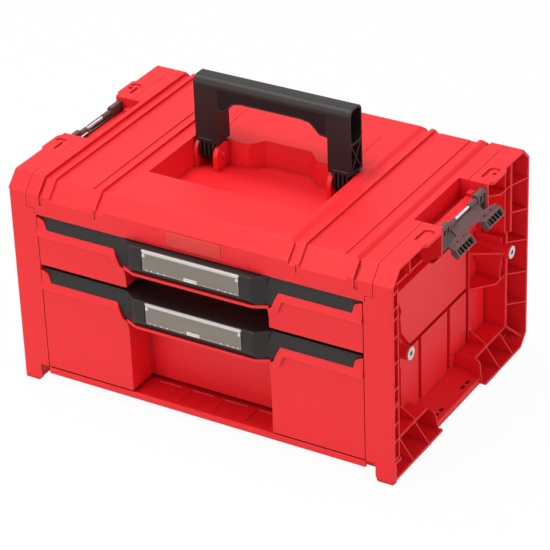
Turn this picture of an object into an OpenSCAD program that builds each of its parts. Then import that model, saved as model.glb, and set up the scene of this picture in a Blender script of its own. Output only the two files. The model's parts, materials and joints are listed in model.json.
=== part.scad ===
// Portable tool box with two drawers, a folding carrying handle and a stacking latch on each side.
// Millimetres. X runs across the front, Y from the front to the back, Z up, feet on Z = 0.

/* [Case] */
// Width over the two side frames
case_w = 450; // [448:1:452]
// Depth of the case, without the drawer grips
case_d = 302; // [300:1:304]
// Height of the case, without the raised handle
case_h = 245; // [244:1:246]
// How far the drawer grips stand out in front
grip_out = 10; // [9:0.5:11]
// Depth of the sloped front edge of the lid
slope_d = 15.5; // [14:0.5:17]
// Height of the sloped front edge of the lid
slope_h = 16; // [14:0.5:18]
// Depth and height of the sloped rear edge of the lid
rear_slope = 13.5; // [12:0.5:15]
// General wall thickness of the mouldings
wall = 3; // [2.5:0.5:3.5]

/* [Side frames] */
// Depth of the hollow in each side, from the outer plane to the inner sheet
bowl_depth = 45; // [43:1:46]
// Depth at which the outer ring of ribs ends
ring_depth = 17; // [16:1:19]
// Thickness of the ribs
rib = 1.8; // [1.5:0.1:2.2]
// Width of the front post seen beside the drawers
post_w = 33; // [32:1:34]
// Width of each front foot
foot_w = 20.7; // [18:0.5:23]

/* [Drawers] */
// Height of the underside of the upper drawer
top_drawer_z = 147; // [146:1:148]
// Height of the top edge of the upper drawer's red front
top_edge_z = 190; // [189:1:191]
// Height of the underside of the lower drawer
bottom_drawer_z = 22; // [21:1:23]
// Height of the top edge of the lower drawer's red front
bottom_edge_z = 127; // [126:1:128]
// Width of the finger recess in the middle of each drawer
recess_w = 170; // [160:1:180]
// Depth of the finger recess
recess_d = 38; // [34:1:42]
// Outer width of the drawer tubs between the rails
tub_w = 328; // [327:1:328]

/* [Label windows] */
// Width of the window in each grip
window_w = 114; // [100:1:118]
// Height of the window in each grip
window_h = 24; // [22:1:25]

/* [Handle] */
// Width over the handle legs
handle_w = 186.4; // [182:0.2:187]
// Thickness of the handle from front to back
handle_t = 25; // [22:1:26]
// Height of the handle's top when it is raised
handle_top = 318; // [314:1:320]
// Width of one handle leg
leg_w = 27.2; // [26:0.2:28]
// Diameter of the two steel hinge pins
handle_pin_d = 6; // [5:0.5:7]

/* [Latches] */
// Length of the latch recess along the side
latch_l = 99; // [96:1:102]
// Angle at which a released latch hangs, below the horizontal
latch_hang = 37; // [32:1:40]
// Diameter of the steel latch pin
latch_pin_d = 3.2; // [3:0.1:3.6]

/* [Hidden] */
$fn = 48;
gap = 0.3;
fit = 0.05;
eps = 0.01;

front_y = -(case_d - grip_out) / 2;
rear_y = front_y + case_d;
side_x = case_w / 2;
sheet_x = side_x - bowl_depth;
sheet_in = sheet_x - wall;
field_x = sheet_x + 7;
skin_t = 2.4;
post_x = side_x - post_w + gap;

// lid and its seams with the side frames
lid_x = 202.7;
lid_t = 5.5;
apron_t = 5;
apron_z = 206;
shoulder_z = 213;
shoulder_x = 193.7;
rear_apron_z = 212;
panel_drop = 3;
slope_top_y = front_y + slope_d;
slope_low_z = case_h - slope_h;
rear_top_y = rear_y - rear_slope;
rear_low_z = case_h - rear_slope;
corner_z = 17.5;

// handle tray and hinge
tray_x = 97.5;
tray_front = front_y + 71;
tray_rear = front_y + 179;
tray_mid_rear = tray_rear + 13;
tray_draft = 3;
tray_z = 212;
tray_land_y = tray_rear + 40;
tray_land_z = 240;
pivot_y = front_y + 168;
pivot_z = 227;
pin_r = handle_pin_d / 2;
ear_r = 14.5;
ear_in = [66, 70.8];
ear_out = [91.2, tray_x];
leg_z = 243.3;
handle_x = handle_w / 2;
leg_in = handle_x - leg_w;
handle_front = pivot_y - 11;
bar_z = 296;
gusset_z = 282;

// latch
latch_y = front_y + 154.7;
latch_front = latch_y - latch_l / 2;
latch_rear = latch_y + latch_l / 2;
pocket_x = 192.6;
pocket_z = 221;
bracket_x = 217;
latch_pin_x = 220.6;
latch_pin_z = 234.6;
latch_pin_r = latch_pin_d / 2;
latch_half = 50.5;
post_l = 19;
barrel_in = 16;
hook_in = 14.5;
hook_reach = 30.7;
ledge_z = 229;
bay_z = 20;
bay_rim_x = side_x - 7;
bay_rim_z = 12;
bottom_z = 4;
bottom_t = 3;
boss_z = 136;
sheet_top = 237;

// drawers
front_x = 191.5;
flange_d = 11;
tub_x = tub_w / 2;
tub_rear = rear_y - 8;
tub_wall = 2.5;
recess_x = recess_w / 2;
recess_y = front_y + recess_d;
drawer_lip = 3;
grip_front = front_y - grip_out;
grip_x = 70.5;
grip_wing_x = recess_x - 3;
grip_wall = 4.5;
grip_top = 15;
strip_back = front_y + 10;
strip_gap = 0.3;
window_drop = 1;
bar_h = 4;
hinge_r = 1.4;
rail_y = front_y + 21;
rail_l = 268;
rail_h = 35;
rail_t = 1.2;
top_rail_z = 175;
bottom_rail_z = 90;
ball_d = 2.7;

red = [0.86, 0.12, 0.11];
dark = [0.17, 0.17, 0.18];
latch_grey = [0.36, 0.32, 0.32];
steel = [0.80, 0.80, 0.82];

// ---------------------------------------------------------------- helpers

// A box from its lowest to its highest corner
module block(low, high) {
    translate(low) cube(high - low);
}

// A (y, z) outline drawn out along X
module along_x(x0, x1, points) {
    translate([x0, 0, 0]) rotate([90, 0, 90]) linear_extrude(x1 - x0) polygon(points);
}

// An (x, z) outline drawn out along Y
module along_y(y0, y1, points) {
    translate([0, y1, 0]) rotate([90, 0, 0]) linear_extrude(y1 - y0) polygon(points);
}

// An (x, y) outline drawn out along Z
module along_z(z0, z1, points) {
    translate([0, 0, z0]) linear_extrude(z1 - z0) polygon(points);
}

module both_sides() {
    children();
    mirror([1, 0, 0]) children();
}

module both_ends() {
    children();
    mirror([0, 1, 0]) children();
}

// Side view of the case, drawn in by an inset all round
function case_outline(inset = 0, base = bottom_z) = [
    [front_y + inset, base + inset],
    [front_y + inset, slope_low_z - inset * 0.45],
    [slope_top_y + inset * 0.42, case_h - inset],
    [rear_top_y - inset * 0.41, case_h - inset],
    [rear_y - inset, rear_low_z - inset * 0.41],
    [rear_y - inset, corner_z + inset * 0.41],
    [rear_y - 13 - inset * 0.41, base + inset]
];

// ---------------------------------------------------------------- lid

// Skin of the lid in side view, open below
function lid_skin() = [
    [front_y, apron_z],
    [front_y, slope_low_z],
    [slope_top_y, case_h],
    [rear_top_y, case_h],
    [rear_y, rear_low_z],
    [rear_y, rear_apron_z],
    [rear_y - wall, rear_apron_z],
    [rear_y - wall, rear_low_z - wall * 0.4],
    [rear_top_y - lid_t * 0.4, case_h - lid_t],
    [slope_top_y + lid_t * 0.4, case_h - lid_t],
    [front_y + apron_t, slope_low_z - apron_t * 0.45],
    [front_y + apron_t, apron_z]
];

// What a sunken panel takes off the skin, in side view
function panel_cut(drop) = [
    [front_y - eps, slope_low_z - drop * 1.3],
    [slope_top_y + drop * 0.42, case_h - drop],
    [rear_top_y - drop * 0.41, case_h - drop],
    [rear_y + eps, rear_low_z - drop * 1.3],
    [rear_y + 5, case_h + 5],
    [front_y - 5, case_h + 5],
    [front_y - 5, slope_low_z - drop * 1.3]
];

// A sunken band between two X values, with one sloping side on top
module sunken_band(x0, x1, drop, slope0 = 0, slope1 = 0) {
    intersection() {
        along_x(x0 - slope0, x1 + slope1, panel_cut(drop));
        along_y(front_y - 10, rear_y + 10, [
            [x0, case_h - drop], [x1, case_h - drop], [x1 + slope1, case_h + eps],
            [x1 + slope1, case_h + 10], [x0 - slope0, case_h + 10], [x0 - slope0, case_h + eps]
        ]);
    }
    along_x(x0, x1, panel_cut(drop));
}

module lid_panels() {
    sunken_band(109, 117.3, panel_drop, 4.5, 0);
    difference() {
        sunken_band(121.6, 173.8, panel_drop, 0, 0);
        along_x(130, 164, [
            [slope_top_y + 1, case_h - panel_drop - 1], [slope_top_y + 2.6, case_h - 1.6],
            [rear_top_y - 2.6, case_h - 1.6], [rear_top_y - 1, case_h - panel_drop - 1]
        ]);
    }
    sunken_band(182, 187.6, panel_drop + 0.8, 4, 0);
    // the sunken groove runs on down the apron
    block([182, front_y - 1, 217], [187.6, front_y + 1.6, slope_low_z]);
    block([117.3, front_y - 1, 218], [119, front_y + 1.2, slope_low_z]);
}

// Space of the handle tray, with drafted walls; grow makes the tub around it
module tray_space(grow, floor_z) {
    draft = tray_draft;
    hull() {
        block([-tray_x - grow, tray_front - grow, case_h + 1],
              [tray_x + grow, tray_rear + grow, case_h + 1 + eps]);
        block([-tray_x + draft - grow, tray_front + draft - grow, floor_z],
              [tray_x - draft + grow, tray_rear - draft + grow, floor_z + eps]);
    }
    hull() {
        along_z(case_h + 1, case_h + 1 + eps, [
            [-41.5 - grow, tray_rear - 30], [41.5 + grow, tray_rear - 30],
            [41.5 + grow, tray_rear + grow], [27.5 + grow, tray_mid_rear + grow],
            [-27.5 - grow, tray_mid_rear + grow], [-41.5 - grow, tray_rear + grow]
        ]);
        along_z(floor_z, floor_z + eps, [
            [-41.5 - grow, tray_rear - 30], [41.5 + grow, tray_rear - 30],
            [41.5 + grow, tray_rear - draft + grow], [27.5 + grow, tray_mid_rear - draft + grow],
            [-27.5 - grow, tray_mid_rear - draft + grow], [-41.5 - grow, tray_rear - draft + grow]
        ]);
    }
}

// One upright ear that carries a handle pin
module handle_ear(x0, x1) {
    difference() {
        union() {
            translate([x0, pivot_y, pivot_z]) rotate([0, 90, 0]) cylinder(r = ear_r, h = x1 - x0);
            block([x0, pivot_y - ear_r, tray_z - 1], [x1, pivot_y + ear_r, pivot_z]);
            block([x0, pivot_y, tray_z - 1], [x1, tray_rear + 1, pivot_z + 8]);
        }
        translate([x0 - 1, pivot_y, pivot_z]) rotate([0, 90, 0])
            cylinder(r = pin_r, h = x1 - x0 + 2);
    }
}

module lid() {
    color(red) {
        difference() {
            union() {
                difference() {
                    along_x(-lid_x, lid_x, lid_skin());
                    both_sides() lid_panels();
                    both_sides() block([shoulder_x, front_y - 1, apron_z - 1],
                                       [lid_x + 1, front_y + apron_t + 1, shoulder_z]);
                    both_sides() block([pocket_x, latch_front, pocket_z],
                                       [lid_x + 1, latch_rear, case_h + 1]);
                    // gently sloping land behind the tray
                    along_x(-tray_x, tray_x, [
                        [tray_rear - 5, tray_land_z], [tray_rear, tray_land_z],
                        [tray_land_y, case_h + eps], [tray_rear - 5, case_h + eps]
                    ]);
                }
                intersection() {
                    tray_space(wall, tray_z - wall);
                    block([-tray_x - 9, tray_front - 9, tray_z - wall],
                          [tray_x + 9, tray_mid_rear + 9, tray_land_z]);
                }
                // walls and floor of the two latch pockets
                both_sides() {
                    block([pocket_x - 2.5, latch_front - 2.5, pocket_z - 2.5],
                          [pocket_x, latch_rear + 2.5, case_h - lid_t + 1]);
                    block([pocket_x - 2.5, latch_front - 2.5, pocket_z - 2.5],
                          [lid_x, latch_front, case_h - lid_t + 1]);
                    block([pocket_x - 2.5, latch_rear, pocket_z - 2.5],
                          [lid_x, latch_rear + 2.5, case_h - lid_t + 1]);
                    block([pocket_x - 2.5, latch_front - 2.5, pocket_z - 2.5],
                          [lid_x, latch_rear + 2.5, pocket_z]);
                }
            }
            tray_space(0, tray_z);
            // shallow outline of the land behind the tray
            both_sides() along_x(78.9, 80.1, [
                [48, 241.2], [tray_land_y, case_h - 0.7], [102.4, case_h - 0.7], [102.4, case_h + 1],
                [48, case_h + 1]
            ]);
            block([-80.1, 101.2, case_h - 0.7], [80.1, 102.4, case_h + 1]);
        }
        both_sides() {
            handle_ear(ear_in[0], ear_in[1]);
            handle_ear(ear_out[0], ear_out[1] - tray_draft + 1.5);
        }
    }
}

// Bare raised plate on the middle of the lid's front
module badge_plate() {
    color([0.82, 0.16, 0.14])
        block([-31.5, front_y - 0.8, 211], [31.5, front_y, 226]);
}

// ---------------------------------------------------------------- side frames

// Plan of the free edge of the ribs, which end at depth r in the rear column
function bowl_plan(r) = [
    [side_x + 1, front_y + skin_t], [side_x, front_y + skin_t], [side_x - 1.2, front_y + 14],
    [side_x - ring_depth, front_y + 21.5], [side_x - ring_depth, front_y + 42],
    [field_x + 1, front_y + 64], [sheet_x, front_y + 66.1], [sheet_x, rear_y - 66.1],
    [field_x + 1, rear_y - 66], [side_x - r, rear_y - 42], [side_x - r, rear_y - 21],
    [side_x, rear_y - wall],
    [side_x + 1, rear_y - wall]
];

// Free edge of the ribs: what the hollow takes away, as plan and as section
module bowl_space() {
    r = ring_depth;
    d = bowl_depth;
    intersection() {
        union() {
            along_z(-10, boss_z + 12, bowl_plan(r));
            along_z(boss_z + 12 - eps, case_h - wall, bowl_plan(r - 5));
        }
        along_y(front_y, rear_y, [
            [side_x + 1, bottom_z + bottom_t], [side_x, bottom_z + bottom_t], [side_x - r, 30],
            [side_x - r, 33], [side_x - d, 50], [side_x - d, 180], [side_x - r - 4.5, 202],
            [side_x - r - 4.5, 205], [side_x - r, 206], [side_x - r, case_h - wall],
            [side_x + 1, case_h - wall]
        ]);
    }
}

module upright_rib(y, z0, z1) {
    block([sheet_x - eps, y - rib / 2, z0], [side_x, y + rib / 2, z1]);
}

module level_rib(z, y0, y1) {
    block([sheet_x - eps, y0, z - rib / 2], [side_x, y1, z + rib / 2]);
}

// Ribs between the inner sheet and the free edge
module side_ribs() {
    shelf_low = 30 - rib / 2;
    shelf_high = 203;
    inner_y = rear_y - 19.5;
    channel_y = rear_y - 31.5;
    front_rib_y = front_y + 33;
    level_rib(shelf_low, front_y + 2, latch_front - 3);
    level_rib(shelf_low, latch_rear + 3, rear_y - 20);
    level_rib(shelf_high, front_y + 2, latch_front - 1);
    level_rib(shelf_high, latch_rear + 1, inner_y);
    // the upper shelf climbs a little in the rear column
    along_x(sheet_x, side_x, [
        [inner_y, shelf_high - rib / 2], [rear_y - 1, shelf_high + 4],
        [rear_y - 1, shelf_high + 4 + rib], [inner_y, shelf_high + rib / 2]
    ]);
    // ladders of ribs in the rear and front columns
    for (z = [57, 94.5, 133.5, 170.5]) level_rib(z, inner_y, rear_y - 1);
    for (z = [50, 70, 90.5, 111, 141, 170.5, 191, 220]) level_rib(z, front_y + 2, front_rib_y + 7);
    upright_rib(front_y + 13, shelf_low, 222);
    level_rib(94, deep_side(1), inner_y);
    level_rib(94, front_y + 2, deep_side(0));
    for (y = [inner_y, front_y + 21]) upright_rib(y, shelf_low, case_h - wall);
    upright_rib(front_rib_y, shelf_low, shelf_high);
    upright_rib(channel_y, 94, 116);
    upright_rib(channel_y, 152, shelf_high);
    // slanting ribs under the shelf
    for (y = [front_y + 41, rear_y - 33]) upright_rib(y, bottom_z, shelf_low);
    for (y = [front_y + 75, rear_y - 64.5]) upright_rib(y, bottom_z, shelf_low + 21);
    for (y = [front_rib_y, front_y + 68, rear_y - 63, channel_y])
        upright_rib(y, shelf_high, case_h - wall);
    for (y = [deep_side(0), deep_side(1)])
        block([sheet_x - eps, y - rib / 2, 28], [field_x + 1, y + rib / 2, 203]);
    // diagonal to the lower rear corner
    along_x(sheet_x, side_x, [
        [inner_y - 1, 30], [inner_y + 1, 31], [rear_y - 4, 13], [rear_y - 6, 12]
    ]);
}

function deep_side(rear) = rear == 1 ? rear_y - 65 : front_y + 65;

// Raised fields on the inner sheet, with grooves between them
module side_fields() {
    y0 = front_y + 77;
    y1 = rear_y - 70;
    along_x(sheet_x - eps, field_x, [
        [y0 + 29, 98.5], [y1, 98.5], [y1, 171.5], [y0, 171.5], [y0 + 12, 146.5], [y0 + 9, 141],
        [y0 + 11, 121.5]
    ]);
    for (span = [[y0 + 9, y0 + 47], [y0 + 54, y0 + 111.5], [y0 + 118.5, y1]])
        block([sheet_x - eps, span[0], bay_z - 3], [field_x, span[1], 93.5]);
    // raised floor of the lower rear pocket
    block([sheet_x - eps, deep_side(1) + 2.5, 30], [sheet_x + 4, rear_y - 21, 92]);
}

// Tube for a side screw, with a web to the inner sheet
module screw_boss(y, z, toward) {
    translate([sheet_x - eps, y, z]) rotate([0, 90, 0]) cylinder(d = 15, h = bowl_depth - 1);
    along_z(z - rib, z + rib / 2, toward > 0
        ? [[sheet_x, y], [sheet_x, y + 27], [side_x - 4, y + 5], [side_x - 4, y]]
        : [[sheet_x, y - 27], [sheet_x, y], [side_x - 4, y], [side_x - 4, y - 5]]);
    block([sheet_x, y - rib / 2, z - 20], [side_x - 12, y + rib / 2, z + 14]);
}

// Floor and walls of the bay that the latch of a box below hooks into
module latch_bay() {
    along_y(latch_front, latch_rear, [
        [sheet_x - eps, bay_z], [bay_rim_x, bay_rim_z], [bay_rim_x, bottom_z],
        [bay_rim_x - wall, bottom_z], [bay_rim_x - wall, bay_rim_z - 2.5], [sheet_x - eps, bay_z - 3]
    ]);
    bay_end(latch_front - 2, 27);
    bay_end(latch_rear, 33.6);
}

// End wall of the bay, with a rounded upper corner
module bay_end(y, top) {
    along_y(y, y + 2, [
        [sheet_x - eps, bottom_z], [bay_rim_x + 3, bottom_z], [bay_rim_x + 1, 14],
        [bay_rim_x, top - 6.5], [bay_rim_x - 2, top - 2.5], [bay_rim_x - 5.5, top - 0.3],
        [bay_rim_x - 8, top], [sheet_x - eps, top]
    ]);
}

// Arched groove on top of a corner pad, closed towards the back
module pad_groove(y0) {
    x0 = side_x - 13.7;
    along_z(case_h - 2.2, case_h + 1, [
        [x0, y0], [x0 + 4.4, y0], [x0 + 4.4, y0 + 17.5], [x0 + 6, y0 + 19.4], [x0 + 9, y0 + 19.4],
        [x0 + 10.2, y0 + 16.5], [x0 + 13.4, y0 + 17.6], [x0 + 12, y0 + 22.6], [x0 + 9.5, y0 + 24],
        [x0 + 3.6, y0 + 24], [x0, y0 + 20.4]
    ]);
}

// A pad of the top plate that stands out past the side
module corner_pad(y0, y1) {
    along_z(case_h - 4, case_h, [
        [side_x - 4, y0 - 3], [side_x - eps, y0 - 3], [side_x + 3, y0], [side_x + 3, y1],
        [side_x - eps, y1 + 3], [side_x - 4, y1 + 3]
    ]);
}

module side_frame_shape() {
    seam_x = lid_x + 0.6;
    ear_y = latch_y + 73;
    difference() {
        union() {
            // outer ring
            difference() {
                along_x(seam_x, side_x, case_outline(0));
                along_x(seam_x - 1, side_x + 1, case_outline(wall, bottom_z));
                block([seam_x - 1, front_y - 1, -1], [side_x + 1, front_y + wall, case_h + 1]);
            }
            intersection() {
                along_x(seam_x, side_x, case_outline(0));
                block([seam_x, front_y, 0], [side_x, front_y + apron_t + 6, case_h]);
                along_x(seam_x, side_x, [
                    [front_y, 0], [front_y + skin_t, 0], [front_y + skin_t, slope_low_z - 1.2],
                    [slope_top_y + 1, case_h - wall], [slope_top_y + 1, case_h + 1],
                    [front_y, case_h + 1]
                ]);
            }
            // inner sheet
            along_x(sheet_in, sheet_x, [
                [front_y + 16, bottom_z], [rear_y - 13, bottom_z], [rear_y, corner_z],
                [rear_y, rear_apron_z - 0.6], [rear_y - 6.5, rear_apron_z - 0.6],
                [rear_y - 6.5, 225], [rear_y - 17, sheet_top], [front_y + 16, sheet_top]
            ]);
            // rear and bottom strips under the lid, with the slanted corner between them
            block([sheet_in, rear_y - wall, corner_z], [seam_x + eps, rear_y, rear_apron_z - 0.6]);
            block([sheet_in, front_y + 16, bottom_z],
                  [seam_x + eps, rear_y - 13, bottom_z + bottom_t]);
            along_x(sheet_in, seam_x + eps, [
                [rear_y - 13, bottom_z], [rear_y, corner_z], [rear_y - wall, corner_z + 1.3],
                [rear_y - 14.3, bottom_z + bottom_t]
            ]);
            // front post
            block([post_x, front_y, foot_w], [seam_x + eps, front_y + apron_t, apron_z]);
            block([shoulder_x + 0.6, front_y, foot_w],
                  [seam_x + eps, front_y + apron_t, shoulder_z - 0.6]);
            along_x(post_x, post_x + wall, [
                [front_y + apron_t - eps, foot_w], [front_y + 19, foot_w], [front_y + 19, sheet_top],
                [front_y + 13.5, sheet_top - 3], [front_y + apron_t - eps, 225]
            ]);
            block([sheet_in, front_y + 16, bottom_z], [post_x + wall, front_y + 19, sheet_top - 1]);
            block([post_x, front_y + 1, foot_w], [side_x - 2, front_y + 19, foot_w + wall]);
            // foot under the post
            block([side_x - foot_w, front_y, 0], [side_x, front_y + apron_t, foot_w + 1]);
            // ribs, fields and bosses
            difference() {
                union() {
                    intersection() {
                        side_ribs();
                        along_x(sheet_x - 1, side_x, case_outline(1, bottom_z));
                        union() {
                            block([seam_x, front_y + 2, 0], [side_x, rear_y, case_h]);
                            block([post_x + 1, front_y + 2, 0], [side_x, rear_y, apron_z - 1]);
                            block([sheet_x - 1, front_y + 17, 0], [side_x, rear_y, sheet_top]);
                        }
                    }
                }
                bowl_space();
            }
            side_fields();
            for (toward = [-1, 1])
                screw_boss(toward > 0 ? front_y + 37 : rear_y - 39, boss_z, toward);
            latch_bay();
            // ledge and end walls of the upper latch recess
            block([seam_x, latch_front - 2.5, ledge_z - 2.5],
                  [bracket_x - 0.2, latch_rear + 2.5, ledge_z]);
            block([seam_x, latch_front - 2.5, pocket_z - 2.5],
                  [seam_x + 2.5, latch_rear + 2.5, ledge_z]);
            for (y = [latch_front - 2.5, latch_rear])
                along_y(y, y + 2.5, [
                    [sheet_x - eps, 202], [side_x - ring_depth, 202], [side_x, 212],
                    [side_x, case_h], [seam_x, case_h], [seam_x, 216], [sheet_x - eps, 216]
                ]);
            block([sheet_x - eps, latch_front - 2.5, 201.2],
                  [bracket_x - 0.2, latch_rear + 2.5, 203]);
            corner_pad(ear_y - 15, ear_y + 14);
            corner_pad(2 * latch_y - ear_y - 14, 2 * latch_y - ear_y + 15);
        }
        // openings in the ring for the latch and the bay
        block([seam_x - 1, latch_front, ledge_z], [side_x + 5, latch_rear, case_h + 1]);
        block([bracket_x - 0.2, latch_front, 200], [side_x + 5, latch_rear, ledge_z + 1]);
        block([bay_rim_x, latch_front, bottom_z - 1], [side_x + 1, latch_rear, 40]);
        pad_groove(ear_y - 12);
        pad_groove(2 * latch_y - ear_y - 12);
        translate([side_x - 3.8, ear_y, case_h - 10]) cylinder(d = 5, h = 12);
        // bores of the two screw bosses
        for (y = [front_y + 37, rear_y - 39])
            translate([sheet_x + 10, y, boss_z]) rotate([0, 90, 0]) cylinder(d = 5, h = bowl_depth);
        // four small slots in the bay floor
        for (y = [-44, -33, 16, 27])
            translate([bay_rim_x - 9, latch_y + 3 + y, 0]) block([0, 0, 8.2], [4, 7, 30]);
        // chamfered outer corner of the post
        along_z(-1, slope_low_z, [
            [side_x - 2.9, front_y - 1], [side_x + 1, front_y - 1], [side_x + 1, front_y + 2.9]
        ]);
        // chamfered corners of the foot
        along_y(front_y - 1, front_y + 20, [
            [side_x - foot_w - 1, -1], [side_x - foot_w + 3, -1], [side_x - foot_w - 1, 3]
        ]);
        along_y(front_y - 1, front_y + 20, [
            [side_x + 1, -1], [side_x - 3, -1], [side_x + 1, 3]
        ]);
    }
    // small step at the rear end of the ledge
    block([seam_x + 1, latch_rear - 7, ledge_z - 1], [side_x - 14, latch_rear + 1, ledge_z + 5]);
}

module side_frame_right() {
    color(red) side_frame_shape();
}

module side_frame_left() {
    color(red) mirror([1, 0, 0]) side_frame_shape();
}

// ---------------------------------------------------------------- rear wall, floor, feet, screws

module rear_wall() {
    x = sheet_in - gap;
    color(red) difference() {
        block([-x, rear_y - 6, 19], [x, rear_y, rear_apron_z - 0.6]);
        for (column = [-2:2])
            for (row = [0, 1])
                translate([column * 69, 0, row * 93])
                    block([-31, rear_y - 2.2, 28], [31, rear_y + 1, 113]);
        for (column = [-1, 0, 1])
            translate([column * 112, 0, 0])
                block([-52, rear_y - 7, 23], [52, rear_y - 4.2, 206]);
    }
}

module floor_tray() {
    x = sheet_in - gap;
    color(red) {
        difference() {
            union() {
                block([-x, front_y + 4, 15.5], [x, rear_y - 0.5, 18.5]);
                block([-(post_x - gap), front_y, 15.5], [post_x - gap, front_y + 15.5, 18.5]);
                block([-(post_x - gap), front_y, 12.5], [post_x - gap, front_y + 3, 20.2]);
            }
            for (x = [-60, -20, 20, 60])
                block([x - 14, front_y + 8, 17.4], [x + 14, front_y + 34, 19]);
        }
        // stiffening ribs below
        for (x = [-150:60:150])
            block([x - 1, front_y + 12, bottom_z + 2], [x + 1, rear_y - 14, 15.6]);
        for (y = [-110, 0, 110])
            block([-x, y - 1, bottom_z + 2], [x, y + 1, 15.6]);
    }
}

// Four dark pads that the case stands on
module base_pads() {
    color(dark) both_sides()
        for (y = [latch_y - 82, latch_y + 70])
            block([side_x - 25, y - 13, 0], [side_x - 2.6, y + 13, bottom_z]);
}

module side_washers() {
    color(steel) both_sides()
        for (y = [front_y + 37, rear_y - 39])
            translate([side_x - 1, y, boss_z]) rotate([0, 90, 0]) difference() {
                cylinder(d = 14, h = 1.2);
                translate([0, 0, -1]) cylinder(d = 5, h = 4);
            }
}

module side_screws() {
    color(steel) both_sides()
        for (y = [front_y + 37, rear_y - 39])
            translate([sheet_x + 12, y, boss_z]) rotate([0, 90, 0]) difference() {
                cylinder(d = 4.9, h = bowl_depth - 13.5);
                translate([0, 0, bowl_depth - 16]) cylinder(d = 3, h = 4, $fn = 6);
            }
}

// ---------------------------------------------------------------- handle

// Rounded cross-section of the raised handle in side view
function handle_section() = let (
    r = 8, y0 = handle_front, y1 = handle_front + handle_t, z1 = handle_top
) concat(
    [[y0, leg_z], [y0, z1 - r]],
    [for (a = [180:-15:90]) [y0 + r + r * cos(a), z1 - r + r * sin(a)]],
    [for (a = [90:-15:0]) [y1 - r + r * cos(a), z1 - r + r * sin(a)]],
    [[y1, leg_z]]
);

module handle_frame() {
    y0 = handle_front;
    y1 = handle_front + handle_t;
    color(dark) difference() {
        union() {
            difference() {
                along_x(-handle_x, handle_x, handle_section());
                // finger opening with gusseted corners
                along_y(y0 - 1, y1 + 1, [
                    [-leg_in, leg_z - 1], [leg_in, leg_z - 1], [leg_in, gusset_z],
                    [leg_in - 9, gusset_z + 1], [46, bar_z - 2], [36, bar_z],
                    [-36, bar_z], [-46, bar_z - 2], [-leg_in + 9, gusset_z + 1],
                    [-leg_in, gusset_z]
                ]);
                // pockets for the grip inserts, front and back
                for (y = [y0 - 1, y1 - 1.2]) along_y(y, y + 2.2, insert_face(0));
            }
            // small ledges at the foot of the legs
            both_sides() block([leg_in + 7, y0 - 0.8, leg_z + 2], [handle_x - 3, y0 + 1, leg_z + 4]);
            // knuckle fins around the pins
            both_sides() {
                for (i = [0:3])
                    translate([ear_in[1] + 0.9 + i * 5.05, 0, 0])
                        handle_fin(2.6);
                translate([ear_in[1] + 0.9, pivot_y, pivot_z]) rotate([0, 90, 0])
                    cylinder(r = 6.5, h = 17.75);
            }
        }
        // open ends of the legs: hollow above, crossed ribs below
        both_sides() {
            along_x(handle_x - 24.5, handle_x + 1, [
                [y0 + 2.2, 283], [y0 + 2.2, handle_top - 8], [y0 + 4.4, handle_top - 4.4],
                [y0 + 8, handle_top - 2.6], [y1 - 8, handle_top - 2.6],
                [y1 - 4.4, handle_top - 4.4], [y1 - 2.2, handle_top - 8], [y1 - 2.2, 283],
                [y1 - 4.2, 279.6], [y1 - 8, 278.4], [y0 + 8, 278.4], [y0 + 4.2, 279.6]
            ]);
            difference() {
                block([handle_x - 22, y0 + 2.5, leg_z + 2.5], [handle_x + 1, y1 - 2.5, 276]);
                for (turn = [-1, 1])
                    translate([handle_x - 23, (y0 + y1) / 2, (leg_z + 278.5) / 2])
                        rotate([turn * 32, 0, 0]) block([0, -1, -30], [30, 1, 30]);
            }
        }
        both_sides() translate([ear_in[1], pivot_y, pivot_z]) rotate([0, 90, 0])
            cylinder(r = pin_r + fit, h = 30);
    }
}

// Outline of a grip insert over the finger opening, drawn in all round
function insert_face(inset) = let (
    x = leg_in - 0.7 - inset, low = gusset_z + 2.2 + inset, high = bar_z + 12.5 - inset
) [
    [-x, low], [-x, high], [x, high], [x, low], [x - 8, low],
    [46.6 + inset * 0.5, bar_z - 0.8 + inset], [36.2, bar_z + 1.2 + inset],
    [-36.2, bar_z + 1.2 + inset], [-46.6 - inset * 0.5, bar_z - 0.8 + inset], [-x + 8, low]
];

// One fin of a knuckle, from the leg down round the pin
module handle_fin(t) {
    r = 9;
    translate([0, pivot_y, pivot_z]) rotate([0, 90, 0]) cylinder(r = r, h = t);
    block([0, pivot_y - r - 1.6, pivot_z], [t, pivot_y + r - 0.4, leg_z + 1]);
}

module handle_grip_inserts() {
    color([0.12, 0.12, 0.13])
        for (y = [handle_front + 0.2, handle_front + handle_t - 1.2])
            along_y(y, y + 1, insert_face(0.1));
}

module handle_pins() {
    color(steel) both_sides()
        translate([ear_in[0] - 0.8, pivot_y, pivot_z]) rotate([0, 90, 0])
            cylinder(r = pin_r, h = 30.5);
}

// ---------------------------------------------------------------- latches

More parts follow.
